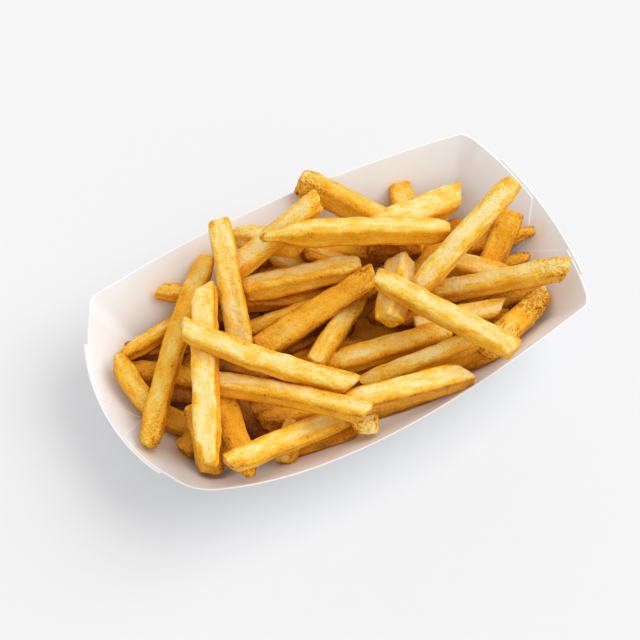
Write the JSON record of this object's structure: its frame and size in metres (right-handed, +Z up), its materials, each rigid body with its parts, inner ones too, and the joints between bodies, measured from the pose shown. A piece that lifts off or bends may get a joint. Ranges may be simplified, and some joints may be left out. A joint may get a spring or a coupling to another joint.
{
  "type": "french fries in a carton",
  "caption": "Straight-cut french fries heaped in an open, boat-shaped tray of folded white paperboard with leaning walls that bow out.",
  "frame": {"origin": "on the table under the middle of the tray", "axes": "+Z up, +X along the tray's length, +Y across its width"},
  "size_m": [0.2096, 0.1234, 0.0635],
  "materials": {
    "paperboard": "matt white uncoated paperboard",
    "fried_potato": "pale golden fried potato with browner edges and cut ends, satin from a little oil"
  },
  "bodies": {
    "root": {"carton": "paperboard", "fries_heap": "fried_potato"}
  },
  "joints": []
}
